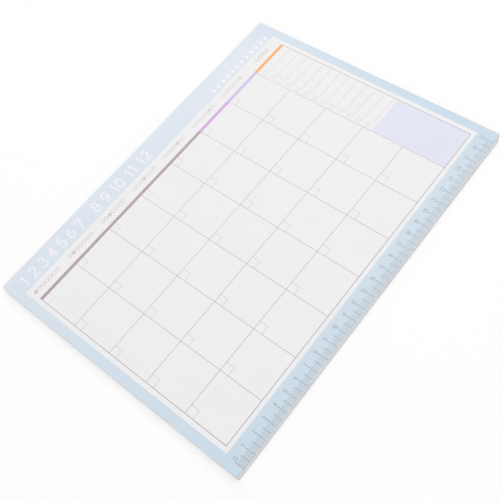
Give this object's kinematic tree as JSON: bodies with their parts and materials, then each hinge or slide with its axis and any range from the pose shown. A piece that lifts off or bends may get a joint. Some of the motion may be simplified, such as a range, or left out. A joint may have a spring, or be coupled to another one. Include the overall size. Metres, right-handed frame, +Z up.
{
  "type": "monthly planner pad",
  "caption": "Flat rectangular tear-off planner pad: a block of paper leaves on a greyboard back, glued along a long edge, with the top leaf's near corner curling up.",
  "frame": {"origin": "middle of the pad's footprint, on the surface it lies on", "axes": "+X along the long edge in the reading direction, +Y across the leaf towards the glued title edge, +Z up out of the printed face"},
  "size_m": [0.285, 0.2104, 0.0082],
  "materials": {
    "leaves": "matte",
    "greyboard": "matte",
    "padding_compound": "satin"
  },
  "bodies": {
    "root": {"leaf_block": "leaves", "backing_board": "greyboard", "padding_film": "padding_compound"}
  },
  "joints": []
}
